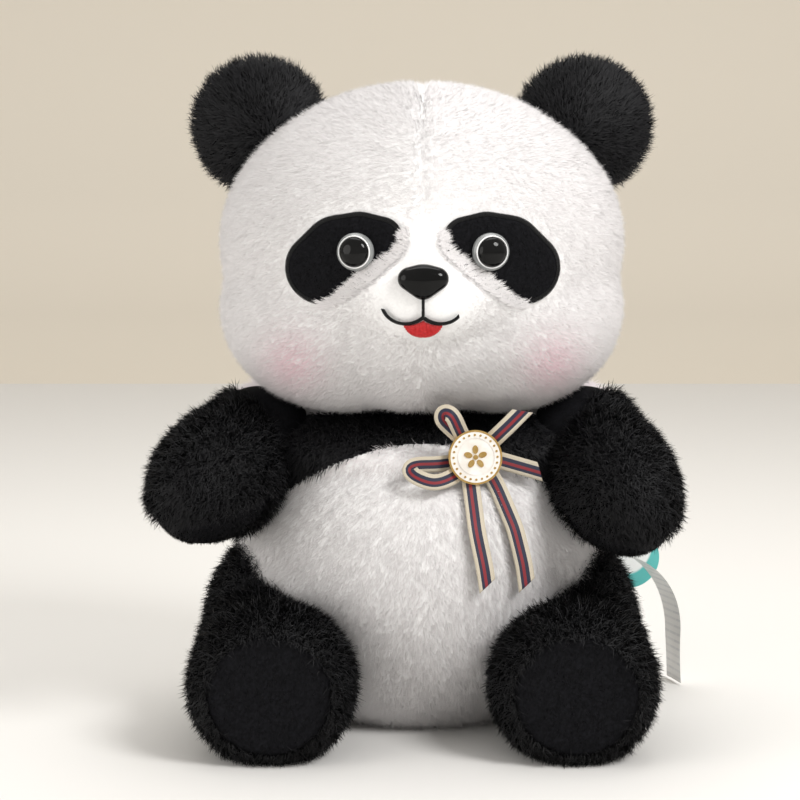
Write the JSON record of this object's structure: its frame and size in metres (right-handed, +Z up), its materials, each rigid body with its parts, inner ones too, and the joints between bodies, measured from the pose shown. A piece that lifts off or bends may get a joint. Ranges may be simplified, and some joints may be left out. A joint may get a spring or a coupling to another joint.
{
  "type": "plush panda",
  "caption": "Sitting plush panda with a nodding head, foldable ears, jointed arms and legs, plastic eyes and nose, and a striped ribbon with a round enamel badge.",
  "frame": {"origin": "middle of the seat, on the surface that the toy sits on", "axes": "+Z up, face looks along -Y, the panda's own left is +X"},
  "size_m": [0.2231, 0.1927, 0.2735],
  "materials": {
    "white_short_pile": "short pile plush",
    "white_long_pile": "long pile plush",
    "black_long_pile": "long pile plush",
    "black_short_pile": "short pile plush",
    "stuffing": "loose polyester fibre",
    "black_plastic": "polished",
    "clear_grey_plastic": "polished, slightly clear",
    "washer_plastic": "moulded",
    "black_thread": "satin stitch",
    "red_thread": "satin stitch",
    "white_thread": "twisted thread",
    "striped_ribbon": "woven twill with stripes",
    "felt": "pressed felt",
    "gold_metal": "plated, polished",
    "pearl_enamel": "pearly enamel",
    "label_cloth": "woven satin tape",
    "clear_nylon": "drawn nylon",
    "card": "coated card"
  },
  "bodies": {
    "torso": {"chest_band": "black_long_pile", "belly_panel": "white_long_pile", "back_panel_left": "white_long_pile", "back_panel_right": "white_long_pile", "seat_panel": "white_long_pile", "torso_stuffing": "stuffing", "closing_thread": "white_thread", "tail_skin": "white_long_pile", "tail_filling": "stuffing", "ribbon_loops": "striped_ribbon", "ribbon_ends": "striped_ribbon", "ribbon_tail_left": "striped_ribbon", "ribbon_tail_right": "striped_ribbon", "badge_pad": "felt", "badge_plate": "gold_metal", "badge_enamel": "pearl_enamel", "badge_motif": "gold_metal", "care_label": "label_cloth", "tag_loop": "clear_nylon"},
    "neck": {"neck_filling": "stuffing"},
    "head": {"face_panel_left": "white_short_pile", "face_panel_right": "white_short_pile", "head_back_panel_left": "white_short_pile", "head_back_panel_right": "white_short_pile", "head_stuffing": "stuffing", "eye_patch_left": "black_short_pile", "eye_patch_right": "black_short_pile", "eye_ring_left": "clear_grey_plastic", "eye_ring_right": "clear_grey_plastic", "eye_left": "black_plastic", "eye_right": "black_plastic", "eye_washer_left": "washer_plastic", "eye_washer_right": "washer_plastic", "nose": "black_plastic", "nose_washer": "washer_plastic", "mouth_thread": "black_thread", "tongue": "red_thread"},
    "swing_tag": {"swing_card": "card"},
    "ear_left": {"ear_front_left": "black_long_pile", "ear_back_left": "black_long_pile", "ear_filling_left": "stuffing"},
    "arm_left": {"arm_sleeve_left": "black_long_pile", "arm_palm_left": "black_short_pile", "arm_stuffing_left": "stuffing"},
    "leg_left": {"leg_sleeve_left": "black_long_pile", "leg_sole_left": "black_short_pile", "leg_stuffing_left": "stuffing"},
    "ear_right": {"ear_front_right": "black_long_pile", "ear_back_right": "black_long_pile", "ear_filling_right": "stuffing"},
    "arm_right": {"arm_sleeve_right": "black_long_pile", "arm_palm_right": "black_short_pile", "arm_stuffing_right": "stuffing"},
    "leg_right": {"leg_sleeve_right": "black_long_pile", "leg_sole_right": "black_short_pile", "leg_stuffing_right": "stuffing"}
  },
  "joints": [
    {"name": "neck_turn", "type": "hinge", "parent": "torso", "child": "neck", "pos_m": [0, -0.0005, 0.135], "axis": [0, -0.2588, 0.9659], "range_deg": [-30, 30], "stiffness_Nm_per_rad": 0.25},
    {"name": "head_nod", "type": "hinge", "parent": "neck", "child": "head", "pos_m": [0, -0.0181, 0.20068], "axis": [1, 0, 0], "range_deg": [-15, 15], "stiffness_Nm_per_rad": 0.6},
    {"name": "ear_left_fold", "type": "hinge", "parent": "head", "child": "ear_left", "pos_m": [0.06264, -0.0101, 0.24333], "axis": [0.743, 0, -0.6693], "range_deg": [-20, 20], "stiffness_Nm_per_rad": 0.02},
    {"name": "arm_left_lift", "type": "hinge", "parent": "torso", "child": "arm_left", "pos_m": [0.068, -0.014, 0.12], "axis": [-1, 0, 0], "range_deg": [-8, 35], "stiffness_Nm_per_rad": 0.12},
    {"name": "leg_left_spread", "type": "hinge", "parent": "torso", "child": "leg_left", "pos_m": [0.065, -0.01, 0.034], "axis": [0, 0, 1], "range_deg": [0, 25], "stiffness_Nm_per_rad": 0.2},
    {"name": "ear_right_fold", "type": "hinge", "parent": "head", "child": "ear_right", "pos_m": [-0.06264, -0.0101, 0.24333], "axis": [0.743, 0, 0.6693], "range_deg": [-20, 20], "stiffness_Nm_per_rad": 0.02},
    {"name": "arm_right_lift", "type": "hinge", "parent": "torso", "child": "arm_right", "pos_m": [-0.068, -0.014, 0.12], "axis": [-1, 0, 0], "range_deg": [-8, 35], "stiffness_Nm_per_rad": 0.12},
    {"name": "leg_right_spread", "type": "hinge", "parent": "torso", "child": "leg_right", "pos_m": [-0.065, -0.01, 0.034], "axis": [0, 0, -1], "range_deg": [0, 25], "stiffness_Nm_per_rad": 0.2},
    {"name": "tag_swing", "type": "hinge", "parent": "torso", "child": "swing_tag", "pos_m": [0.094, 0.05, 0.0831], "axis": [0, 1, 0], "range_deg": [-25, 5]}
  ]
}
